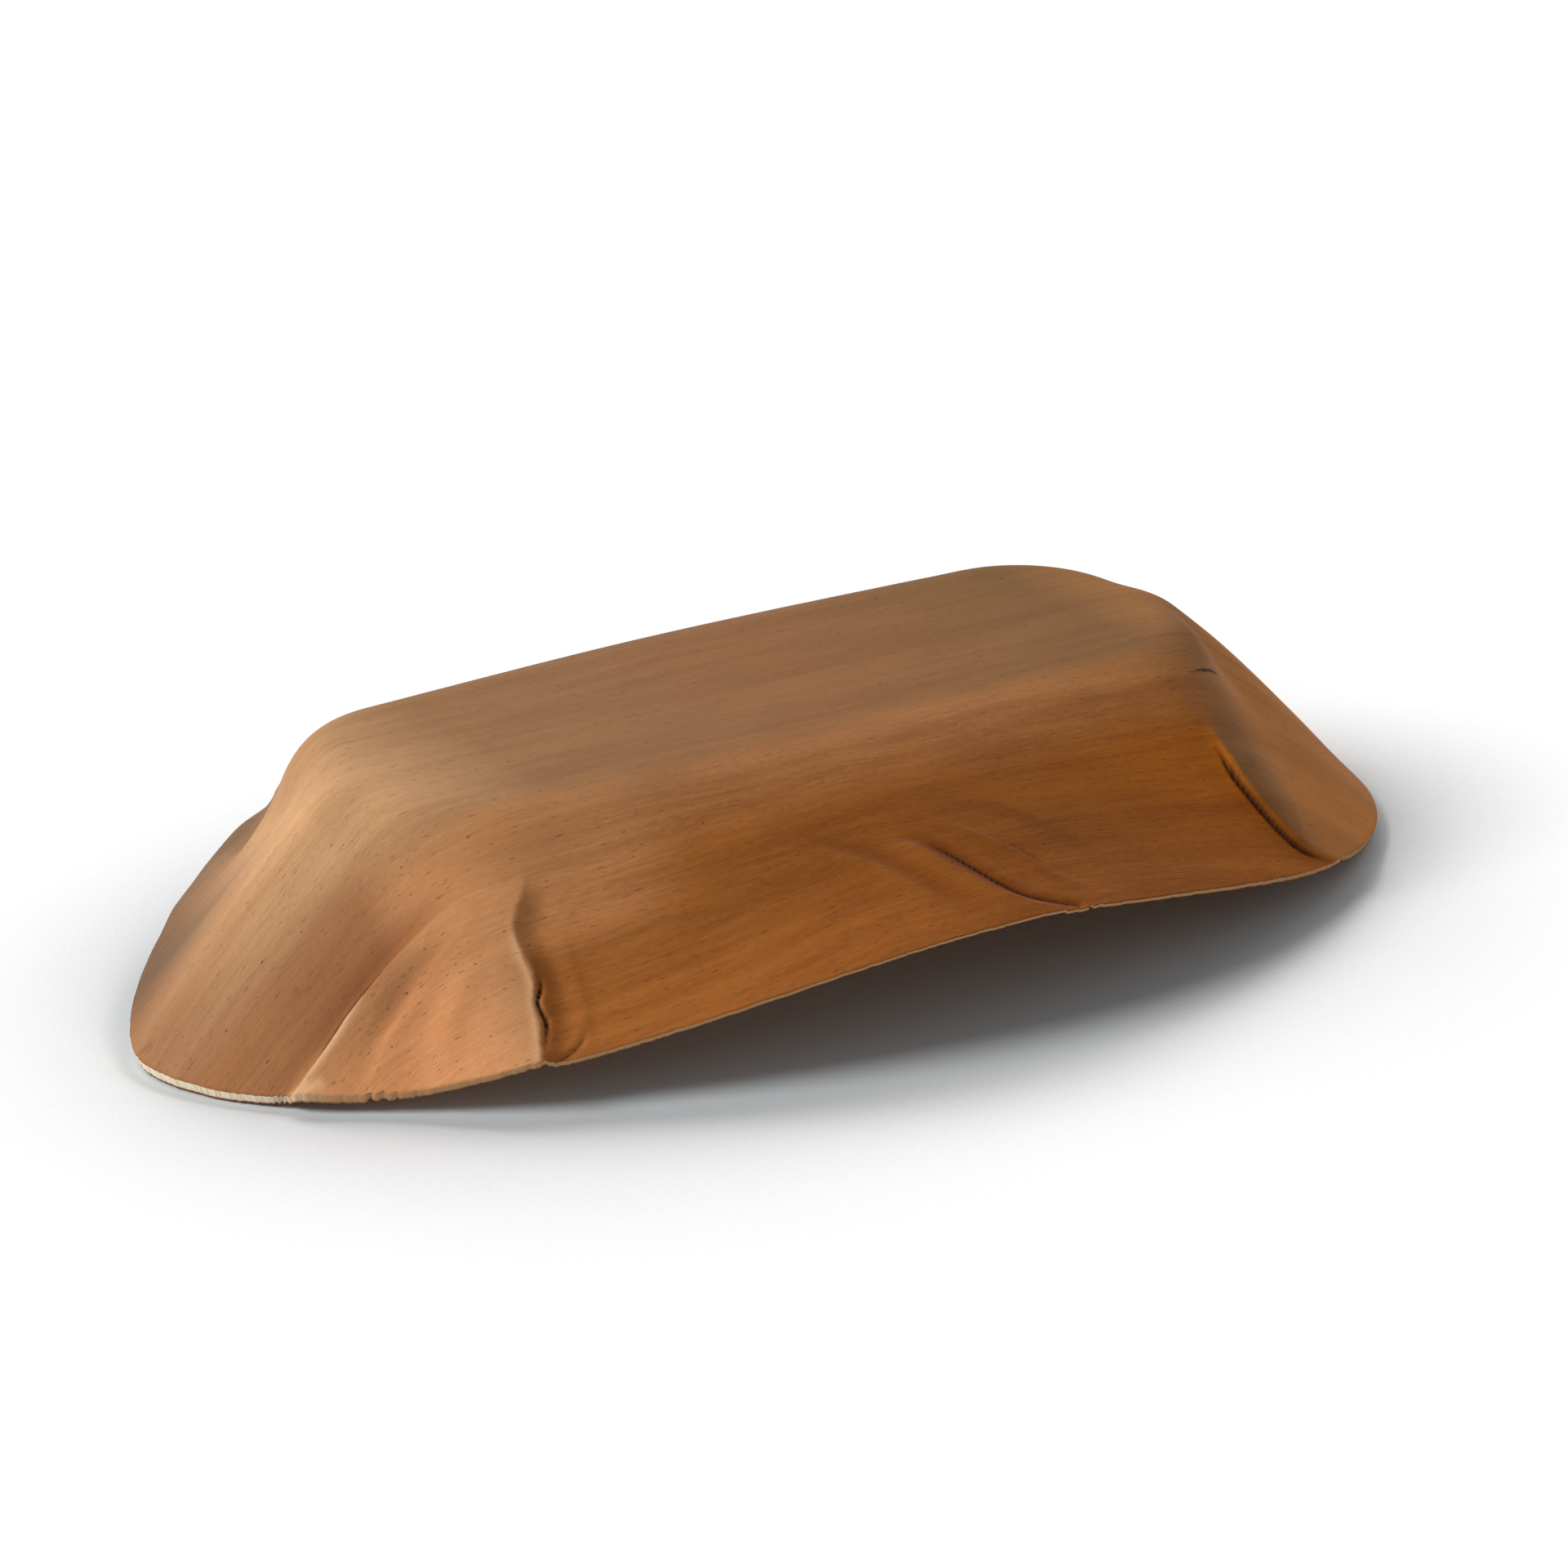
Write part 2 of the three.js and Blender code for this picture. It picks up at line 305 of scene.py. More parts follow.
# %% [markdown]
# ## Directions and flat places
# Every push on the leaf goes along its normal. The leaf was flat before it was pressed, so each point
# also gets the place that it had then: its column laid out level from the base's edge. Fibres are
# straight lines along X on that flat leaf, and the material is drawn there, so its stripes turn down
# the end walls and lean round the corners by themselves, as they do on the real dish.

# %% Normals and flat places


def grid_normals(face):
    along = np.roll(face, -1, axis=1) - np.roll(face, 1, axis=1)
    down = np.gradient(face, axis=0)
    normal = np.cross(along, down)
    normal /= np.linalg.norm(normal, axis=-1, keepdims=True)
    normal *= np.sign(normal[..., 2:].mean())
    normal[0] = (0.0, 0.0, 1.0)
    return normal


normals = grid_normals(smooth_face)
row_length = np.linalg.norm(np.diff(smooth_face, axis=0), axis=-1)
down_length = np.concatenate([np.zeros((1, len(places))), np.cumsum(row_length, axis=0)])
outward = (columns.foot - columns.edge)[:, :2]
outward /= np.linalg.norm(outward, axis=1, keepdims=True)
flat_leaf = columns.bend_start[None, :, :2] + outward[None] * down_length[..., None]
flat_size = np.ptp(flat_leaf.reshape(-1, 2), axis=0)
print("leaf before pressing, mm:", flat_size.round(0).tolist())

# %% [markdown]
# ## Folds
# A flat sheet can't take a dish's corners without gathering, and the press sets the gathers as folds.
# Each fold is a line down the wall from which the leaf stands proud. It falls back over a different
# distance on each side, and a side marked sharp falls in a hollow curve, which leaves a crisp crest.
# The larger folds are those of the solid part, with sharper crests.

# %% Fold tools
path_samples = 160
least_down = 0.02  # share of the way down the wall above which no line runs


@dataclass
class Line:
    """A line down the wall: a fold, a crack, a shaded stripe or a highlighted edge."""

    path: list  # places, each in steps around and share of the way down
    height: float  # mm that the leaf stands proud, or the strength of a mask
    left: float  # mm over which it falls back on that side
    right: float
    sharp: str = "none"  # the side with a crisp crest: left, right or both
    fade: tuple = (0.35, 0.3)  # shares of the length over which it rises, and falls to its end
    end: float = 0.35  # share of the height that is left at the end


def path_on_wall(places_down):
    """A smooth line through places, as points on the wall."""
    knots = np.array(places_down)
    padded = np.vstack([2 * knots[0] - knots[1], knots, 2 * knots[-1] - knots[-2]])
    along_knots = np.linspace(0.0, len(knots) - 1, path_samples)
    start = np.minimum(along_knots.astype(int), len(knots) - 2)
    part = (along_knots - start)[:, None]
    before, here, there, after = (padded[start + step] for step in range(4))
    place = 0.5 * (
        2 * here
        + (there - before) * part
        + (2 * before - 5 * here + 4 * there - after) * part**2
        + (3 * here - before - 3 * there + after) * part**3
    )
    return Columns(place[:, 0]).surface(np.clip(place[:, 1], least_down, 1.0))


def line_shape(line):
    """How much of a line's height each point of the outer face takes, from 0 to 1."""
    face = smooth_face
    path = path_on_wall(line.path)
    tangent = np.gradient(path, axis=0)
    tangent /= np.linalg.norm(tangent, axis=1, keepdims=True)
    reach = max(line.left, line.right)
    inside = np.all((face > path.min(axis=0) - reach) & (face < path.max(axis=0) + reach), axis=-1)
    points = face[inside]
    distance = np.linalg.norm(points[:, None] - path[None], axis=-1)
    nearest = distance.argmin(axis=1)
    offset = points - path[nearest]
    is_right = np.einsum("ij,ij->i", np.cross(offset, tangent[nearest]), normals[inside]) > 0
    width = np.where(is_right, line.right, line.left)
    away = np.clip(distance.min(axis=1) / width, 0.0, 1.0)
    is_sharp = np.where(is_right, line.sharp in ("right", "both"), line.sharp in ("left", "both"))
    across = np.where(is_sharp, (1.0 - away) ** 2, 1.0 - smoothstep(away))
    share = nearest / (path_samples - 1)
    fade_in, fade_out = line.fade
    along = smoothstep(share, 0.0, fade_in)
    along *= 1.0 + (line.end - 1.0) * smoothstep(share, 1.0 - fade_out, 1.0)
    shape = np.zeros(face.shape[:2])
    shape[inside] = across * along
    return shape


def total_push(lines):
    """The heights of all lines together, at each point of the outer face."""
    return sum(line.height * line_shape(line) for line in lines)


# %% [markdown]
# Left and right are those of someone who walks down the wall on the outside. The near left corner has
# the highest fold: a crest that the leaf laps over, with a crack below it. On the left end a second
# fold runs out to the rim between softer ripples, and at the near right corner the end wall rolls over
# the side wall.

# %% Folds of the leaf
crest_path = [
    [7.1, 0.16], [7.16, 0.27], [7.2, 0.34], [7.234, 0.4], [7.244, 0.46],
    [7.236, 0.54], [7.228, 0.61], [7.235, 0.7], [7.262, 0.85], [7.3, 1.0],
]
end_fold_path = [
    [7.28, 0.19], [7.42, 0.29], [7.56, 0.39], [7.716, 0.504], [7.843, 0.618],
    [7.94, 0.724], [8.02, 0.842], [8.09, 0.94], [8.12, 1.0],
]
roll_path = [[4.8, 0.2], [4.825, 0.38], [4.81, 0.54], [4.75, 0.72], [4.66, 0.9], [4.5, 1.0]]

folds = [
    # Near left corner: the crest
    Line(crest_path, height=2.5, left=4.5, right=22.0, sharp="left", fade=(0.25, 0.3), end=0.95),
    # Near left corner: the lapped strip beside the crack
    Line([[7.1, 0.45], [7.1, 0.55], [7.107, 0.68], [7.12, 0.82], [7.165, 0.93], [7.24, 1.0]],
         height=0.4, left=2.4, right=7.0, sharp="left", end=0.8),
    # Left end: the fold whose near side stands proud
    Line(end_fold_path, height=2.4, left=10.0, right=2.2, sharp="right", fade=(0.5, 0.3), end=0.7),
    # Left end: softer ripples on both sides of the crest's slope
    Line([[7.3, 0.3], [7.48, 0.46], [7.6, 0.58], [7.72, 0.72], [7.8, 0.85], [7.86, 1.0]],
         height=0.6, left=5.0, right=2.8, sharp="right", end=0.4),
    Line([[7.38, 0.36], [7.53, 0.49], [7.65, 0.59], [7.75, 0.7], [7.85, 0.9]],
         height=-0.4, left=3.0, right=3.0, end=0.3),
    Line([[7.33, 0.45], [7.46, 0.6], [7.55, 0.78], [7.6, 0.98]],
         height=0.45, left=4.0, right=4.0, end=0.4),
    # Near right corner: the end wall rolls over the side wall
    Line(roll_path, height=2.0, left=20.0, right=3.0, sharp="right", end=0.5),
    # Far right and far left corners
    Line([[1.17, 0.45], [1.2, 0.7], [1.17, 1.0]],
         height=0.8, left=6.0, right=9.0, sharp="left"),
    Line([[10.9, 0.25], [10.85, 0.6], [10.8, 1.0]],
         height=1.2, left=9.0, right=6.0, sharp="right"),
    # Far left corner: the hollow between the end wall and the flared rim
    Line([[10.55, 0.3], [10.42, 0.5], [10.25, 0.75]],
         height=-1.6, left=7.0, right=7.0, fade=(0.4, 0.4), end=0.2),
    Line([[10.75, 0.95], [10.55, 0.78], [10.38, 0.78], [10.2, 0.9]],
         height=1.4, left=8.0, right=9.0, fade=(0.3, 0.3), end=0.5),
    # Near long side: three fanned wrinkles above the rim
    Line([[6.13, 0.52], [6.05, 0.59], [5.99, 0.71], [5.94, 0.81], [5.88, 0.9], [5.78, 0.98]],
         height=1.3, left=2.2, right=7.0, sharp="left", end=0.5),
    Line([[6.01, 0.48], [5.89, 0.56], [5.79, 0.69], [5.72, 0.83], [5.62, 0.92]],
         height=0.5, left=2.0, right=5.0, sharp="left", end=0.3),
    Line([[6.35, 0.45], [6.2, 0.6], [6.12, 0.75], [6.05, 0.9]],
         height=0.6, left=2.5, right=6.0, sharp="left", end=0.2),
]

# %% [markdown]
# ## Cracks
# Where the leaf was bent too far it split. A crack is a fold turned inward: narrow, sharp on both
# sides and dark inside with painted shade. Its shape is kept as a mask too, so that the material can
# paint that shade.

# %% Cracks in the leaf
cracks = [
    # Beside the crest at the near left corner
    Line([[7.214, 0.61], [7.225, 0.68], [7.25, 0.75], [7.247, 0.83], [7.275, 0.93]],
         height=-1.6, left=1.0, right=0.8, sharp="both", end=0.4),
    # Under the strip's lower end
    Line([[7.13, 0.87], [7.17, 0.94], [7.22, 0.98], [7.26, 1.0]],
         height=-0.6, left=1.4, right=0.8, sharp="both", end=0.8),
    # Along the fold on the left end
    Line([[7.7, 0.48], [7.8, 0.57], [7.88, 0.64], [7.96, 0.73], [8.03, 0.83], [8.07, 0.9]],
         height=-0.9, left=0.7, right=1.8, sharp="both", end=0.3),
    # Under the roll at the near right corner
    Line([[4.83, 0.32], [4.84, 0.42], [4.825, 0.54], [4.765, 0.72], [4.675, 0.9], [4.52, 1.0]],
         height=-1.2, left=1.25, right=1.2, sharp="both", fade=(0.4, 0.2)),
    # Near long side: in the main wrinkle and in the one below it
    Line([[6.05, 0.54], [5.98, 0.62], [5.93, 0.72], [5.88, 0.82], [5.82, 0.905], [5.7, 0.98]],
         height=-0.9, left=1.5, right=1.3, sharp="both",
         fade=(0.3, 0.2), end=0.8),
    Line([[5.86, 0.56], [5.77, 0.69], [5.7, 0.82]],
         height=-0.5, left=1.2, right=1.0, sharp="both"),
    # A curled mark above the left tip
    Line([[8.93, 0.955], [8.98, 0.965], [9.02, 0.95], [9.06, 0.975], [9.1, 1.0]],
         height=-0.5, left=0.6, right=0.6, sharp="both", end=0.8),
]

# %% [markdown]
# Beside a fold the colour is darker: partly browning of the leaf squeezed by the hot mould, partly
# painted shade where the fold hides the light. Those soft stripes follow the same kind of line, but
# only colour it, so that their height is a strength. The sharpest edges are pale: partly rubbed, partly
# a painted highlight.

# %% Stripes of painted shade and browning, edges of painted highlight and wear
# Painted shade with browning: each stripe darkens the leaf beside a fold, where the fold shades it
shade_and_browning_stripes = [
    # Behind the fold on the left end
    Line([[7.3, 0.2], [7.5, 0.34], [7.72, 0.5], [7.85, 0.62], [7.95, 0.724], [8.12, 1.0]],
         height=1.0, left=1.0, right=9.0, sharp="left", fade=(0.3, 0.4), end=0.5),
    # In the ripple between that fold and the crest
    Line([[7.4, 0.38], [7.53, 0.49], [7.65, 0.59], [7.75, 0.7], [7.83, 0.82]],
         height=0.5, left=2.5, right=4.0, end=0.2),
    # Below the crest, between it and the lapped strip
    Line([[7.2, 0.4], [7.2, 0.55], [7.19, 0.7], [7.21, 0.85], [7.25, 0.97]],
         height=0.4, left=3.5, right=2.0, end=0.8),
    # Beside the wrinkles of the near side
    Line([[6.11, 0.48], [6.02, 0.58], [5.96, 0.7], [5.91, 0.8], [5.84, 0.9], [5.75, 0.98]],
         height=0.9, left=4.0, right=3.0, end=0.4),
    Line([[6.1, 0.42], [5.92, 0.54], [5.81, 0.68], [5.73, 0.83], [5.62, 0.93]],
         height=0.35, left=2.0, right=3.0, end=0.1),
    Line([[6.42, 0.36], [6.24, 0.5], [6.13, 0.64], [6.05, 0.8], [5.97, 0.93]],
         height=0.6, left=3.5, right=2.5, end=0.1),
    Line([[5.95, 0.4], [5.75, 0.5], [5.62, 0.65], [5.5, 0.84]],
         height=0.45, left=2.0, right=3.5, end=0.1),
    # On the side wall along the roll at the near right corner
    Line([[4.83, 0.3], [4.84, 0.42], [4.82, 0.56], [4.76, 0.73], [4.67, 0.9], [4.52, 1.0]],
         height=0.5, left=0.8, right=2.4, sharp="left", fade=(0.2, 0.2), end=0.8),
]

# Painted highlight and wear: pale lines on the sharpest crests, and pale frayed fibres at a torn end
highlight_and_wear_edges = [
    # The crest, above and beside its crack
    Line([[7.16, 0.28], [7.236, 0.42], [7.25, 0.54], [7.245, 0.64], [7.27, 0.78], [7.3, 0.98]],
         height=0.7, left=0.5, right=1.8, sharp="both", end=0.8),
    # The step of the fold on the left end
    Line([[7.83, 0.615], [7.93, 0.72], [8.01, 0.84], [8.08, 0.94], [8.11, 1.0]],
         height=1.0, left=1.8, right=0.5, sharp="both", end=1.0),
    # The torn end of that fold at the rim
    Line([[8.0, 0.94], [8.05, 0.97], [8.12, 1.0]],
         height=1.0, left=3.5, right=2.0, sharp="both", end=1.0),
]

# A crack 1 mm deep or deeper gets the full painted shade
crack_shade_marks = [replace(crack, height=min(1.0, -crack.height)) for crack in cracks]

fold_push = total_push(folds)
crack_push = total_push(cracks)
crack_shade_mask = np.clip(total_push(crack_shade_marks), 0.0, 1.0)
shade_and_browning_mask = np.clip(total_push(shade_and_browning_stripes), 0.0, 1.0)
highlight_and_wear_mask = np.clip(total_push(highlight_and_wear_edges), 0.0, 1.0)
print("folds, mm out:", fold_push.max().round(2), "cracks, mm in:", -crack_push.min().round(2))

# %% [markdown]
# ## Where the side wall ends
# The near side wall came from the sheath's redder margin. It ends at the crest at the near left corner
# and at the roll at the near right one. Along them the colour changes at once, because the leaf is
# folded there, and above them it fades over the bend.

# %% Near side wall
crest_line = [
    [7.1, 0.16], [7.2, 0.34], [7.234, 0.4], [7.236, 0.54], [7.228, 0.61], [7.262, 0.85], [7.3, 1.0],
]
soft_change = 0.5  # width of the change at the bend, in steps around
sharp_change = 0.03
soft_until = 0.1  # share of the way down the wall until which the change is soft
sharp_from = 0.42  # and from which it is sharp


def line_at(path, down):
    places_on_path, downs_on_path = np.array(path).T
    return np.interp(down, downs_on_path, places_on_path)


change = soft_change + (sharp_change - soft_change) * smoothstep(row_down, soft_until, sharp_from)
before_crest = smoothstep((line_at(crest_line, row_down) - places) / change, -0.5, 0.5)
past_roll = smoothstep((places - line_at(roll_path, row_down)) / change, -0.5, 0.5)
side_wall = before_crest * past_roll

# %% [markdown]
# ## Unevenness
# Pressed leaf is never true to the mould. It springs back in slow waves, and its veins leave low ribs
# along the fibres. Both come from a soft random field with a fixed seed, read on the flat leaf. Both
# die out at the base's edge, because the base is pressed flat, and are lower at the trimmed rim.

# %% Waves and ribs
wave_height = 0.35
wave_size = (34.0, 26.0)
rib_height = 0.04
rib_size = (60.0, 2.6)
full_height_from = 0.35  # share of the rows, from the base's edge
lower_from = 0.85
height_lost_at_rim = 0.7
random_cells = 64  # the field repeats after so many cells each way


def soft_field(place, size, seed):
    """A smooth random value from -1 to 1 at each place, with features of the given size."""
    heights = np.random.default_rng(seed).uniform(-1.0, 1.0, (random_cells, random_cells))
    scaled = place / np.array(size) + random_cells / 2
    cell = np.floor(scaled).astype(int)
    part_right, part_below = np.moveaxis(smoothstep(scaled - cell), -1, 0)
    column, row = np.moveaxis(cell % random_cells, -1, 0)
    right = (column + 1) % random_cells
    below = (row + 1) % random_cells
    upper = heights[column, row] * (1 - part_right) + heights[right, row] * part_right
    lower = heights[column, below] * (1 - part_right) + heights[right, below] * part_right
    return upper * (1 - part_below) + lower * part_below


row_share = np.linspace(0.0, 1.0, smooth_face.shape[0])[:, None]
unevenness = wave_height * soft_field(flat_leaf, wave_size, seed=3)
unevenness += rib_height * soft_field(flat_leaf, rib_size, seed=8)
unevenness *= smoothstep(row_share, 0.0, full_height_from)
unevenness *= 1.0 - height_lost_at_rim * smoothstep(row_share, lower_from, 1.0)
outer_face = smooth_face + (fold_push + crack_push + unevenness)[..., None] * normals

# %% [markdown]
# ## The trimmed edge
# The sheath is thick along its middle and thin at its margins, so the cut edge is a pale band at the
# ends and a thin line along the sides. The cut leans between square to the leaf and straight down. Cut
# fibres end unevenly, most where a fold reaches the rim, so the last row is cut back a little here and
# there, and never pushed out.

# %% Inner face and cut edge
leaf_thick_middle = 2.4
leaf_thick_margin = 0.6  # thinner than the solid part's margin
thickness_power = 1.2
cut_lean = 0.5  # 0 cuts square to the leaf, 1 straight down
fray_depth = 0.16
fray_depth_at_folds = 0.75
fray_seed = 11
# Where a fold reaches the rim, and how far the fraying spreads, in steps around
frayed_folds = [(7.3, 0.05), (7.82, 0.1), (8.2, 0.06), (5.66, 0.05), (4.42, 0.04)]


def leaf_thickness(y):
    from_middle = np.clip(np.abs(y) / (rim_width / 2), 0.0, 1.0)
    thinning = (leaf_thick_middle - leaf_thick_margin) * from_middle**thickness_power
    return leaf_thick_middle - thinning


rng = np.random.default_rng(fray_seed)
fray = fray_depth * rng.random(len(places)) ** 2
for place, spread in frayed_folds:
    near_fold = np.exp(-(((places - place) / spread) ** 2))
    fray += fray_depth_at_folds * near_fold * rng.random(len(places)) ** 2
down_wall = outer_face[-1] - outer_face[-2]
down_wall /= np.linalg.norm(down_wall, axis=-1, keepdims=True)
outer_face[-1] -= fray[:, None] * down_wall

thickness = leaf_thickness(smooth_face[..., 1])
inner_face = outer_face - thickness[..., None] * normals
through = normals[-1] + (np.array([0.0, 0.0, 1.0]) - normals[-1]) * cut_lean
through /= np.linalg.norm(through, axis=-1, keepdims=True)
depth = thickness[-1] / np.einsum("ij,ij->i", through, normals[-1])
inner_face[-1] = outer_face[-1] - depth[:, None] * through
print("cut edge, mm:", thickness[-1].min().round(2), "to", thickness[-1].max().round(2))

# %% [markdown]
# ## One closed mesh
# The skin runs from the middle of the base over the outer wall, through the cut edge and back up the
# inner wall to the middle of the hollow. The inner face needs fewer rows, because its folds are seen
# only from below. Flat places, crack and cut masks ride on the points as attributes.

# %% Build the leaf
cut_rows = 3
inner_row_step = 4

inner_rows = list(range(smooth_face.shape[0] - 1, 0, -inner_row_step)) + [0]
cut_steps = [step / (cut_rows + 1) for step in range(1, cut_rows + 1)]
cut_face = [outer_face[-1] + (inner_face[-1] - outer_face[-1]) * step for step in cut_steps]
rings = list(outer_face) + cut_face + [inner_face[row] for row in inner_rows]
ring_count = len(rings)
column_count = len(places)

cad_lift = cad_box[1][2] / MM - wall_height
base_middle = np.array([0.0, base_shift, wall_height])
hollow_middle = base_middle - [0.0, 0.0, leaf_thickness(base_shift)]
points = np.vstack([base_middle[None], *rings, hollow_middle[None]])
points[:, 2] += cad_lift
low, high = np.array(cad_box) / MM
outside = np.maximum(np.maximum(low - points, points - high), 0.0)
print("clipped to the part's box by up to, mm:", outside.max(axis=0).round(3).tolist())
points = np.clip(points, low, high)

ring = np.arange(ring_count - 1)[:, None]
column = np.arange(column_count)[None]
beside = (column + 1) % column_count
corner_a = 1 + ring * column_count + column
corner_b = 1 + ring * column_count + beside
quads = np.stack([corner_a, corner_b, corner_b + column_count, corner_a + column_count], axis=-1)
last_ring = 1 + (ring_count - 1) * column_count
last_point = len(points) - 1
top_fan = np.stack([np.zeros(column_count, int), 1 + beside[0], 1 + column[0]], axis=-1)
hollow_fan = np.stack(
    [np.full(column_count, last_point), last_ring + column[0], last_ring + beside[0]], axis=-1
)
faces = quads.reshape(-1, 4).tolist() + top_fan.tolist() + hollow_fan.tolist()

leaf_mesh = bpy.data.meshes.new("palm_leaf")
leaf_mesh.from_pydata((points * MM).tolist(), [], faces)
leaf_mesh.shade_smooth()
leaf = bpy.data.objects.new("palm_leaf", leaf_mesh)
bpy.context.scene.collection.objects.link(leaf)
triangles = sum(len(face) - 2 for face in faces)
print("leaf:", len(points), "points,", triangles, "triangles")

# %% Attributes for the material


def add_attribute(name, values):
    kind, field = ("FLOAT_VECTOR", "vector") if values.ndim == 2 else ("FLOAT", "value")
    attribute = leaf_mesh.attributes.new(name, kind, "POINT")
    attribute.data.foreach_set(field, values.astype(np.float32).ravel())


def over_all_rings(outer, cut, inner, top=0.0, hollow=0.0):
    """One value for each point, from what each part of the skin holds."""
    parts = [np.array([top]), *outer, *[cut] * cut_rows, *[inner[row] for row in inner_rows]]
    return np.concatenate([np.asarray(part) for part in parts + [np.array([hollow])]])


side_offset = 400.0  # mm that the inner face's pattern lies away from the outer one's
outer_place = np.dstack([flat_leaf, np.zeros(flat_leaf.shape[:2])])
inner_place = outer_place + [0.0, 0.0, side_offset]
middle_places = [[0.0, base_shift, 0.0], [0.0, base_shift, side_offset]]
leaf_place = over_all_rings(outer_place, outer_place[-1], inner_place, *middle_places)
zeros = np.zeros(smooth_face.shape[:2])
add_attribute("leaf_place", leaf_place)
# The crack mask carries painted shade to the material
add_attribute("crack", over_all_rings(crack_shade_mask, zeros[0], zeros))
# Stripes of painted shade and browning
add_attribute("browned", over_all_rings(shade_and_browning_mask, shade_and_browning_mask[-1], zeros))
# Edges of painted highlight and wear
add_attribute("worn", over_all_rings(highlight_and_wear_mask, highlight_and_wear_mask[-1], zeros))
add_attribute("side_wall", over_all_rings(side_wall, side_wall[-1], side_wall))
add_attribute("cut", over_all_rings(zeros, zeros[0] + 1.0, zeros))

# %% [markdown]
# The leaf is set against the solid part: it may differ only by what its sharper folds, cracks, waves
# and thinner margin make.

# %% Distance from the solid part
measure_every = 23  # points

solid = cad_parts["pressed_leaf_dish"]
solid_tree = BVHTree.FromPolygons(
    [vertex.co for vertex in solid.data.vertices],
    [polygon.vertices for polygon in solid.data.polygons],
)
gaps = np.array([
    solid_tree.find_nearest(Vector(point * MM))[3] / MM for point in points[::measure_every]
])
print("from the solid, mm: mean", gaps.mean().round(2), "most", gaps.max().round(2))

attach(leaf, "root")
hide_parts("pressed_leaf_dish")

# %% [markdown]
# ## Shader arithmetic
# A material is easier to read as sums than as a web of nodes. One small class holds a socket and
# answers to the usual operators: values go through Math nodes, colours and vectors through Vector Math.
# Any other node comes from one method.

# %% Wires and nodes
# Numbers of the sockets of a Mix node for colours and of a Mix Shader node
MIX_FACTOR = 0
MIX_COLOURS = (6, 7)
MIX_COLOUR_OUTPUT = 2
MIX_SHADERS = (1, 2)


class Wire:
    """A socket that more nodes can start from."""

    def __init__(self, nodes, socket):
        self.nodes = nodes
        self.socket = socket

    def maths(self, operation, other, swapped=False):
        pair = (other, self) if swapped else (self, other)
        kinds = [wire.socket.type for wire in pair if isinstance(wire, Wire)]
        is_value = all(kind == "VALUE" for kind in kinds)
        kind = "ShaderNodeMath" if is_value else "ShaderNodeVectorMath"
        return self.nodes.make(kind, {"operation": operation}, {0: pair[0], 1: pair[1]})

    def __add__(self, other):
        return self.maths("ADD", other)

    def __radd__(self, other):
        return self.maths("ADD", other, swapped=True)

    def __sub__(self, other):
        return self.maths("SUBTRACT", other)

    def __rsub__(self, other):
        return self.maths("SUBTRACT", other, swapped=True)

    def __mul__(self, other):
        return self.maths("MULTIPLY", other)


class Nodes:
    """The node tree of one material."""

    def __init__(self, name):
        self.material = bpy.data.materials.new(name)
        self.material.use_nodes = True
        self.tree = self.material.node_tree
        self.tree.nodes.clear()

    def make(self, kind, settings=None, sockets=None, output=0):
        """Adds a node with its settings first, then its sockets' values or links."""
        node = self.tree.nodes.new(kind)
        for key, value in (settings or {}).items():
            if key == "stops":
                self.set_stops(node.color_ramp, value)
            else:
                setattr(node, key, value)
        for key, value in (sockets or {}).items():
            socket = node.inputs[key]
            if isinstance(value, Wire):
                self.tree.links.new(value.socket, socket)
            else:
                needs_alpha = socket.type == "RGBA" and len(value) == 3
                socket.default_value = (*value, 1.0) if needs_alpha else value
        return Wire(self, node.outputs[output])

    @staticmethod
    def set_stops(ramp, stops):
        while len(ramp.elements) < len(stops):
            ramp.elements.new(0.5)
        for element, (position, colour) in zip(ramp.elements, stops):
            element.position = position
            element.color = (*colour, 1.0)

    def show(self, shader):
        output = self.tree.nodes.new("ShaderNodeOutputMaterial")
        self.tree.links.new(shader.socket, output.inputs["Surface"])

    def split(self, vector):
        node = self.make("ShaderNodeSeparateXYZ", {}, {"Vector": vector}).socket.node
        return [Wire(self, socket) for socket in node.outputs]

    def ramp(self, factor, stops):
        return self.make("ShaderNodeValToRGB", {"stops": stops}, {"Fac": factor}, "Color")

    def fade(self, value, low, high):
        """0 below low, 1 above high, smooth between. Low may be the larger."""
        settings = {"interpolation_type": "SMOOTHSTEP"}
        sockets = {"Value": value, "From Min": low, "From Max": high}
        return self.make("ShaderNodeMapRange", settings, sockets)

    def mix(self, factor, first, second):
        sockets = {MIX_FACTOR: factor, MIX_COLOURS[0]: first, MIX_COLOURS[1]: second}
        return self.make("ShaderNodeMix", {"data_type": "RGBA"}, sockets, MIX_COLOUR_OUTPUT)

    def noise(self, place, size, detail, shift=(0.0, 0.0, 0.0)):
        """A random field with features of the given size. A shift leads to other values of it."""
        scaled = place * tuple(1 / length for length in size) + shift
        return self.make("ShaderNodeTexNoise", {}, {"Vector": scaled, "Scale": 1.0, "Detail": detail})


# %% [markdown]
# ## Pressed leaf
# The colour of the sheath runs in stripes along its fibres: broad bands, then streaks, then single
# fibres, each a random field stretched along X on the flat leaf and straying a little sideways. A
# mottle and a fine grain lie over them. The same fields tilt the normal and change the roughness, so
# that the fibres catch light as the real ones do.

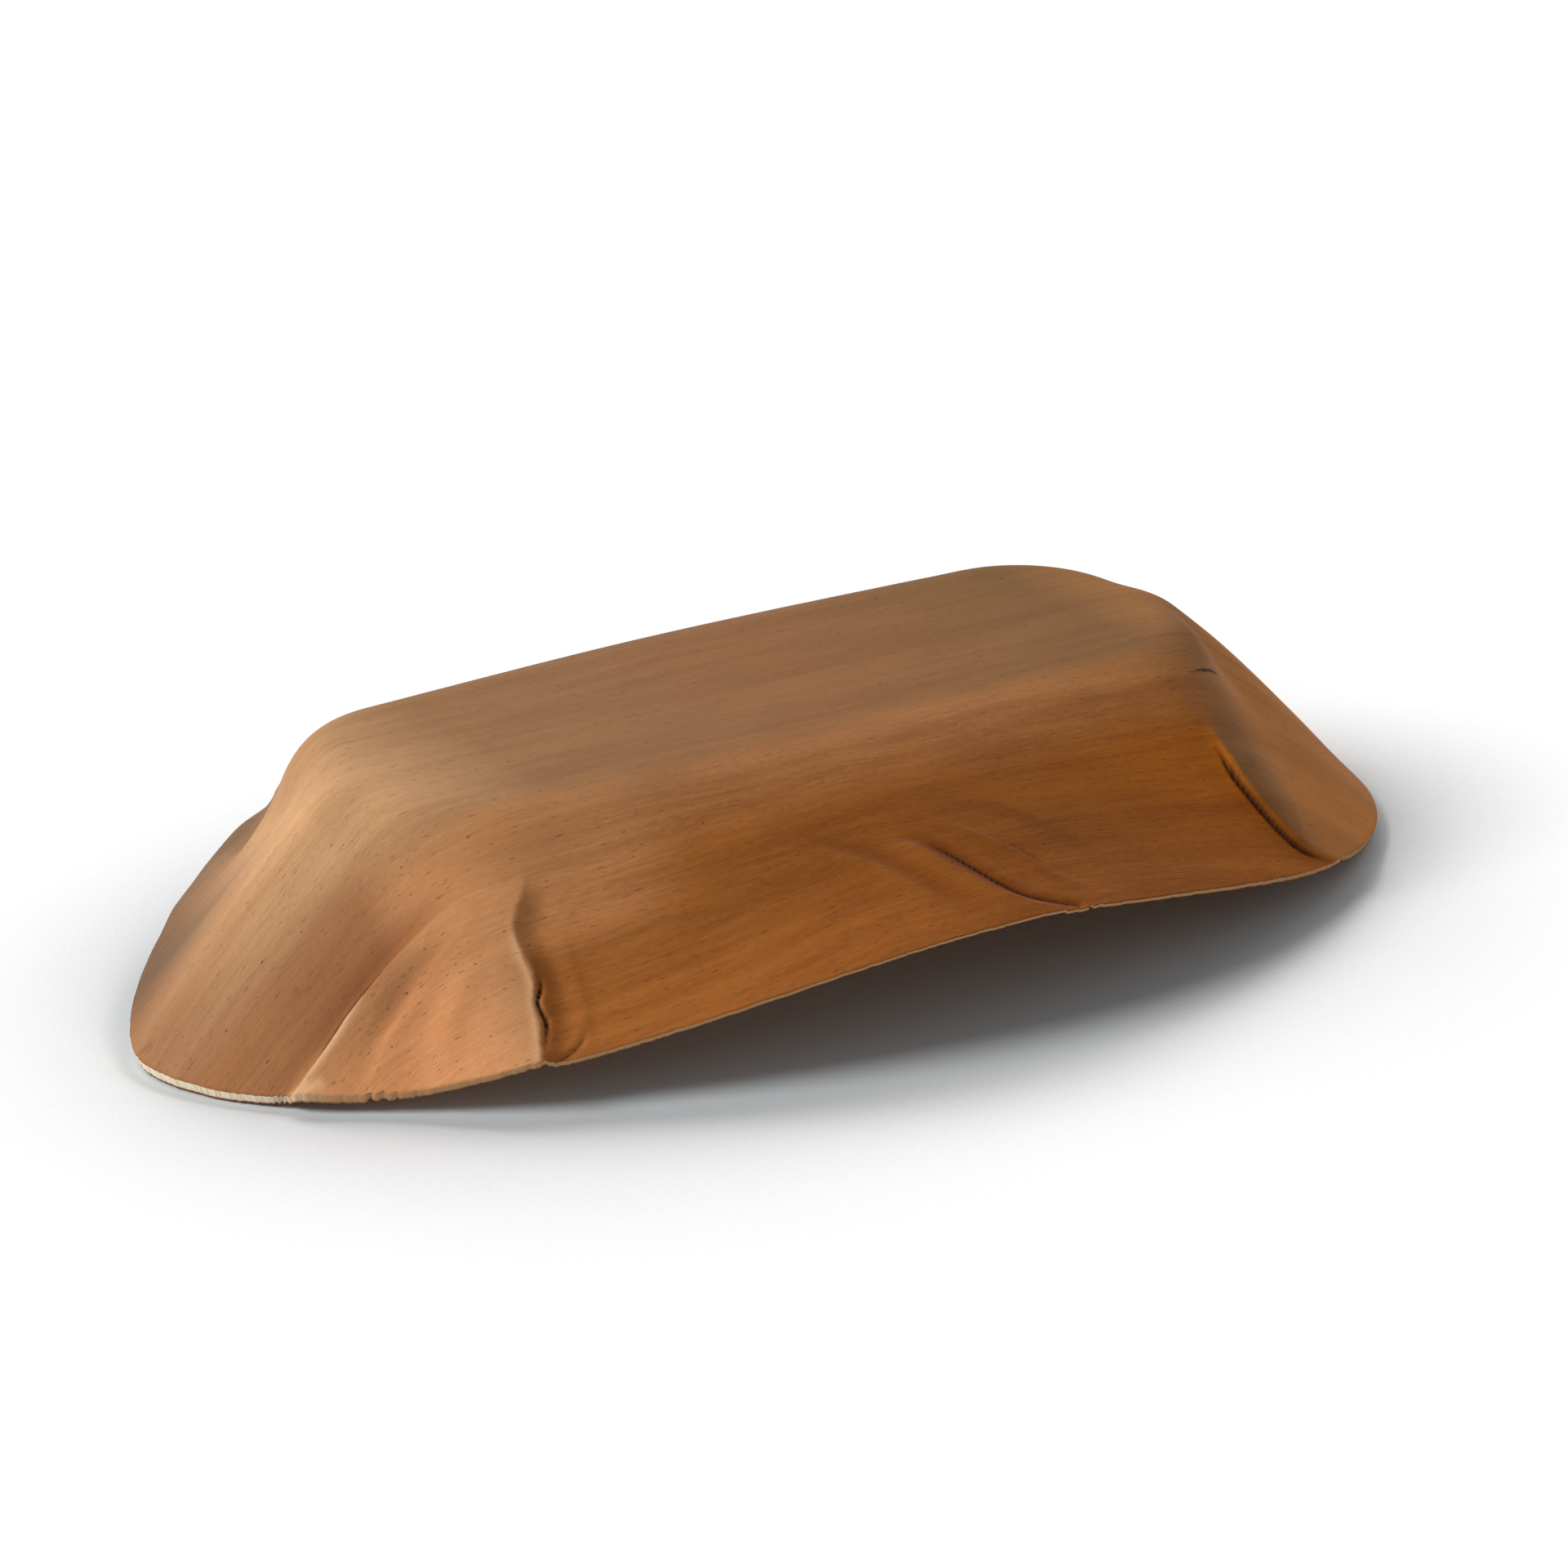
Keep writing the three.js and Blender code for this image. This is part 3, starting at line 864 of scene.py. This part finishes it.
# %% Fibres and streaks
# Sizes of the features, in mm along the leaf, across it and through it
wander_size = (60.0, 60.0, 60.0)
ripple_size = (21.0, 21.0, 21.0)
broad_size = (150.0, 11.0, 50.0)
streak_size = (40.0, 2.2, 50.0)
fibre_size = (11.0, 0.45, 50.0)
mottle_size = (16.0, 9.0, 50.0)
grain_size = (1.7, 0.8, 50.0)
wander_reach = 6.0  # mm that the fibres stray sideways over a long way
ripple_reach = 1.5  # and over a short one

paint = Nodes("pressed_leaf")


def attribute(name, output="Fac"):
    return paint.make("ShaderNodeAttribute", {"attribute_name": name}, {}, output)


place = attribute("leaf_place", "Vector")
crack, browned, worn, side_wall_share, cut = (
    attribute(name) for name in ("crack", "browned", "worn", "side_wall", "cut")
)
wander = paint.noise(place, wander_size, detail=2.0) - 0.5
ripple = paint.noise(place, ripple_size, detail=1.0) - 0.5
sideways = wander * wander_reach + ripple * ripple_reach
fibre_place = place + paint.make("ShaderNodeCombineXYZ", {}, {"Y": sideways})
broad = paint.noise(fibre_place, broad_size, detail=1.0)
streak = paint.noise(fibre_place, streak_size, detail=3.0)
fibre = paint.noise(fibre_place, fibre_size, detail=2.0)
mottle = paint.noise(place, mottle_size, detail=4.0)
grain = paint.noise(place, grain_size, detail=3.0)

# %% [markdown]
# The colour changes slowly along the leaf: pale tan at the left end, partly painted light that adds to
# the left lamp, a greyer brown over the base and tan again at the right end. The near margin is a deep
# orange brown and the far one a dull brown. The band along the left end's fold and the leaf past the
# roll have browns and tans of their own. The corner beyond the crest has a tan that is partly its own
# and partly painted light, the near bend a painted highlight, and the top of the crest painted light
# against its shade.

# %% Slow changes of colour
# The left end's pale tan is partly painted light, adding to what the left lamp gives
left_end_tan_and_light = (0.57, 0.315, 0.150)
shoulder_tan = (0.278, 0.134, 0.049)
worn_tan = (0.37, 0.178, 0.077)
leaf_brown = (0.247, 0.103, 0.031)
grey_brown = (0.188, 0.086, 0.022)
# Tan of the corner beyond the crest, made brighter with painted light
corner_tan_and_light = (0.65, 0.283, 0.114)
fold_brown = (0.37, 0.158, 0.060)
# Colour of the painted light on the top of the crest
crest_light_tan = (0.60, 0.268, 0.104)
roll_tan = (0.52, 0.190, 0.036)
far_brown = (0.170, 0.093, 0.046)
right_tan = (0.58, 0.215, 0.050)
rim_orange = (0.385, 0.122, 0.023)
deep_orange = (0.345, 0.117, 0.023)
# Colour of the painted highlight along the near bend
bend_highlight_tan = (0.44, 0.185, 0.063)
right_orange = (0.470, 0.130, 0.0060)
deeper_orange = (0.262, 0.077, 0.0073)
# How fully a patch covers the colour below it, where it isn't fully
rim_cover = 0.5
bend_highlight_cover = 0.55
crest_light_cover = 0.65
roll_cover = 0.85
left_lean = 8.0  # mm that the near margin lies further out towards the left end
leaf_half = 136.0  # mm from the middle of the flat leaf to its ends


def patch(*edges):
    """A soft-edged area: each edge is a coordinate, and the mm where the area starts and is full."""
    area = paint.fade(*edges[0])
    for edge in edges[1:]:
        area = area * paint.fade(*edge)
    return area


along, across, inward = paint.split(place)
# Paler at the left end, partly as painted light
slow_colour = paint.ramp(
    along * (0.5 / leaf_half) + 0.5,
    [
        (0.02, worn_tan), (0.17, left_end_tan_and_light), (0.30, shoulder_tan),
        (0.52, leaf_brown), (0.73, grey_brown), (0.91, right_tan),
    ],
)
# The corner beyond the crest: a pinker tan of its own, brightened with painted light as if lit like the
# left end
corner_tan_and_light_patch = patch((across, -30.0, -46.0), (along, -58.0, -86.0))
slow_colour = paint.mix(corner_tan_and_light_patch, slow_colour, corner_tan_and_light)
fold_band = patch((across, -9.0, -24.0), (across, -46.0, -34.0), (along, -72.0, -90.0))
slow_colour = paint.mix(fold_band, slow_colour, fold_brown)
far_end = patch((across, -2.0, 24.0), (along, -88.0, -120.0))
far_margin = patch((across, 23.0, 50.0))
slow_colour = paint.mix(far_end + far_margin * (1.0 - far_end), slow_colour, far_brown)

leaning_across = across + patch((along, -15.0, -70.0)) * left_lean
margin = side_wall_share * patch((leaning_across, -19.0, -34.0))
margin_colour = paint.mix(patch((along, -70.0, 0.0)), deep_orange, deeper_orange)
margin_colour = paint.mix(patch((along, 20.0, 80.0)), margin_colour, right_orange)
margin_colour = paint.mix(patch((across, -50.0, -66.0)) * rim_cover, margin_colour, rim_orange)
slow_colour = paint.mix(margin, slow_colour, margin_colour)

# Painted highlight: a lighter band along the near bend, where the bend turns away from the light
bend_highlight = patch((across, -17.0, -26.0), (across, -41.0, -29.0), (along, -84.0, -64.0))
slow_colour = paint.mix(bend_highlight * bend_highlight_cover, slow_colour, bend_highlight_tan)
# Painted light: the top of the crest is lightened against the shade that its steep face falls into
crest_painted_light = patch(
    (along, -36.0, -56.0), (along, -90.0, -76.0), (across, -18.0, -27.0), (across, -52.0, -40.0)
)
slow_colour = paint.mix(crest_painted_light * crest_light_cover, slow_colour, crest_light_tan)
beyond_roll = patch((along, 72.0, 88.0), (across, -6.0, -24.0)) * (1.0 - side_wall_share)
slow_colour = paint.mix(beyond_roll * roll_cover, slow_colour, roll_tan)

# %% [markdown]
# Over that come the streaks, darker ones redder and lighter ones greyer, most of all on the near
# margin, then the stripes of painted shade and browning, and the pale edges of painted highlight and
# wear.

# %% Leaf colour
darkest_tint = (0.74, 0.67, 0.60)
lightest_tint = (1.24, 1.28, 1.34)
stripe_range = (0.34, 0.66)  # values of the mixed fields at which a stripe is darkest and lightest
leaf_contrast = 0.6
margin_contrast = 0.4  # more on the near margin
# Painted shade and browning beside the folds
shade_and_browning_tint = (0.60, 0.46, 0.34)
shade_and_browning_cover = 0.85
# Pale edges: painted highlight on the crests, and rubbed wear
highlight_and_wear_tan = (0.86, 0.50, 0.26)
highlight_and_wear_cover = 0.8

# The numbers are each field's share, and make 1 together
stripe = broad * 0.26 + streak * 0.25 + fibre * 0.16 + mottle * 0.17 + grain * 0.16
contrast = leaf_contrast + margin * margin_contrast
lightness = 0.5 + (paint.fade(stripe, *stripe_range) - 0.5) * contrast
leaf_colour = paint.mix(lightness, slow_colour * darkest_tint, slow_colour * lightest_tint)
# Painted shade and browning beside the folds
leaf_colour = paint.mix(browned * shade_and_browning_cover, leaf_colour, slow_colour * shade_and_browning_tint)
# Painted highlight and wear on the sharpest edges
leaf_colour = paint.mix(worn * highlight_and_wear_cover, leaf_colour, highlight_and_wear_tan)

# %% [markdown]
# Short dark dashes lie along the fibres and a few specks between them, where a fibre broke the
# surface. Both are the highest tops of a random field.

# %% Dashes and specks
dash_size = (1.9, 0.3, 50.0)
dash_shift = (3.1, 7.7, 0.0)
dash_range = (0.74, 0.81)  # values of the field at which a dash starts and is full
dash_cover = 0.5
dash_brown = (0.10, 0.035, 0.012)
speck_size = (1.5, 0.9, 50.0)
speck_shift = (9.0, 4.0, 0.0)
speck_range = (0.85, 0.88)
speck_cover = 0.7
speck_brown = (0.06, 0.025, 0.012)

dash = paint.fade(paint.noise(fibre_place, dash_size, 0.0, dash_shift), *dash_range)
speck = paint.fade(paint.noise(place, speck_size, 0.0, speck_shift), *speck_range)
leaf_colour = paint.mix(dash * dash_cover, leaf_colour, dash_brown)
leaf_colour = paint.mix(speck * speck_cover, leaf_colour, speck_brown)

# %% [markdown]
# Inside the cracks the material paints shade. One short nick on the bend is too fine for the mesh, so
# its shade is painted here, as a thin ellipse on the flat leaf whose outline the grain roughens.

# %% Painted shade in cracks and nick
# Painted shade inside the cracks and the nick
painted_crack_shade = (0.035, 0.012, 0.005)
crack_shade_range = (0.2, 0.8)
crack_shade_cover = 0.9
nick_along = 72.5  # mm on the flat leaf, near the right end of the base
nick_across = -26.0
nick_slope = 0.2
nick_half_length = 6.5
nick_half_width = 0.4
nick_roughening = 2.0
nick_range = (1.1, 0.3)  # squared shares of the ellipse's radius at which it starts and is full
nick_shade_cover = 0.85

from_nick_along = along - nick_along
from_nick_across = across - nick_across - from_nick_along * nick_slope
length_share = from_nick_along * (1 / nick_half_length)
width_share = from_nick_across * (1 / nick_half_width)
from_nick = length_share * length_share + width_share * width_share
from_nick = from_nick + (grain - 0.5) * nick_roughening
nick = paint.fade(from_nick, *nick_range) * paint.fade(inward, side_offset, 0.0)
# Painted shade of the nick and inside the cracks
leaf_colour = paint.mix(nick * nick_shade_cover, leaf_colour, painted_crack_shade)
leaf_colour = paint.mix(paint.fade(crack, *crack_shade_range) * crack_shade_cover, leaf_colour, painted_crack_shade)

# %% [markdown]
# On the cut edge the pith shows: cream, with brown fibre ends. Along the near margin the edge is too
# thin for pith and stays brown.

# %% Cut edge
pith_size = (0.5, 0.5, 50.0)
fibre_end_brown = (0.72, 0.50, 0.29)
pith_cream = (0.93, 0.79, 0.57)
pith_pale = (0.98, 0.92, 0.76)
thin_edge_cover = 0.9
thin_edge_brown = (0.54, 0.29, 0.12)
cut_range = (0.45, 0.75)

pith_colour = paint.ramp(
    paint.noise(place, pith_size, detail=2.0),
    [(0.33, fibre_end_brown), (0.46, pith_cream), (0.64, pith_pale)],
)
thin_edge = patch((across, -30.0, -48.0)) * thin_edge_cover
pith_colour = paint.mix(thin_edge, pith_colour, thin_edge_brown)
leaf_colour = paint.mix(paint.fade(cut, *cut_range), leaf_colour, pith_colour)

# %% [markdown]
# Uncoated leaf is nearly matt. Its relief is a third of a millimetre at most, from the same fields as
# the stripes.

# %% Leaf surface
relief_height = 0.0003  # metres
relief_strength = 0.5
least_roughness = 0.62
fibre_roughness = 0.14
cut_roughness = 0.15
cut_rough_range = (0.4, 0.8)
gloss = 0.13

# The numbers are each field's share
relief = streak * 0.25 + fibre * 0.3 + mottle * 0.2 + grain * 0.35 - dash * 0.5
bump_sockets = {"Strength": relief_strength, "Distance": relief_height, "Height": relief}
bump = paint.make("ShaderNodeBump", {}, bump_sockets, "Normal")
rough_cut = paint.fade(cut, *cut_rough_range) * cut_roughness
roughness = least_roughness + fibre * fibre_roughness + rough_cut
surface_sockets = {
    "Base Color": leaf_colour, "Roughness": roughness, "Normal": bump, "Specular IOR Level": gloss,
}
paint.show(paint.make("ShaderNodeBsdfPrincipled", {}, surface_sockets))
leaf_mesh.materials.append(paint.material)
print("leaf material:", len(paint.tree.nodes), "nodes")

# %% [markdown]
# ## Table and light
# The dish lies on a white table that fades into a white surround. What the camera sees of it is a
# white that takes the lamps' shadows, and what it throws back on the leaf is the light of ordinary
# white board. The shadows are dark enough under the dish and too faint beside it, so the table has a
# shade of its own, read from how open each place is. Under the dish it is a little blue, which cancels
# the warm light that the leaf throws there.

# %% Table
table_size = 6.0  # metres
table_white = (1.0, 1.0, 1.0)
table_white_for_light = (0.62, 0.62, 0.62)
shade_reach = 0.11  # metres within which the dish shades the table
shade_samples = 8
under_dish = (0.87, 0.97, 1.00)
near_dish = (0.71, 0.76, 0.78)
beside_dish = (0.54, 0.55, 0.56)

board = Nodes("white_table")
is_seen = board.make("ShaderNodeLightPath", {}, {}, "Is Camera Ray")
for other_ray in ("Is Glossy Ray", "Is Transmission Ray"):
    is_seen = is_seen.maths("MAXIMUM", board.make("ShaderNodeLightPath", {}, {}, other_ray))
openness = board.make(
    "ShaderNodeAmbientOcclusion", {"samples": shade_samples}, {"Distance": shade_reach}, "AO"
)
seen_colour = board.ramp(
    openness, [(0.10, under_dish), (0.45, near_dish), (0.80, beside_dish), (0.97, table_white)]
)
matt = {"Roughness": 1.0, "Specular IOR Level": 0.0}
seen = board.make("ShaderNodeBsdfPrincipled", {}, {"Base Color": seen_colour, **matt})
unseen = board.make("ShaderNodeBsdfDiffuse", {}, {"Color": table_white_for_light})
either = {MIX_FACTOR: is_seen, MIX_SHADERS[0]: unseen, MIX_SHADERS[1]: seen}
board.show(board.make("ShaderNodeMixShader", {}, either))

half_table = table_size / 2
corner_signs = [(-1, -1), (1, -1), (1, 1), (-1, 1)]
table_corners = [(x * half_table, y * half_table, 0.0) for x, y in corner_signs]
table_mesh = bpy.data.meshes.new("table")
table_mesh.from_pydata(table_corners, [], [(0, 1, 2, 3)])
table_mesh.materials.append(board.material)
table = bpy.data.objects.new("table", table_mesh)
bpy.context.scene.collection.objects.link(table)

# %% [markdown]
# Three wide sun lamps stand for the windows of a room, because they light the whole table evenly. The
# strongest, on the left, lights the left end and throws a soft shadow to the right, and the other two
# stand behind the dish. The near side has only the light of the room. All shares make about 1 on a
# level surface, so that a colour renders about as it is written.

# %% Lamps
level_light = 1.06  # light on a level surface
room_share = 0.27
room_white = (1.0, 1.0, 1.0, 1.0)
lamps = [
    # Name, share of the light, turn from straight behind the dish, height, width, in degrees
    ("window", 0.41, -80.0, 36.0, 26.0),
    ("back_window", 0.22, 0.0, 38.0, 50.0),
    ("far_window", 0.11, 50.0, 38.0, 50.0),
]

world = bpy.data.worlds.new("room")
bpy.context.scene.world = world
world.use_nodes = True
room = world.node_tree.nodes["Background"]
room.inputs["Color"].default_value = room_white
room.inputs["Strength"].default_value = level_light * room_share

for name, share, turn, height, width in lamps:
    lamp = bpy.data.objects.new(name, bpy.data.lights.new(name, "SUN"))
    bpy.context.scene.collection.objects.link(lamp)
    turn = math.radians(turn)
    height = math.radians(height)
    towards_lamp = Vector((
        math.sin(turn) * math.cos(height),
        math.cos(turn) * math.cos(height),
        math.sin(height),
    ))
    lamp.rotation_euler = towards_lamp.to_track_quat("Z", "Y").to_euler()
    lamp.data.energy = level_light * share * math.pi / math.sin(height)
    lamp.data.angle = math.radians(width)
    print(name, "strength", round(lamp.data.energy, 2))
bpy.context.scene.view_settings.view_transform = "Standard"

# %% [markdown]
# ## Last step
# The view layer is brought up to date.

# %% Update
bpy.context.view_layer.update()
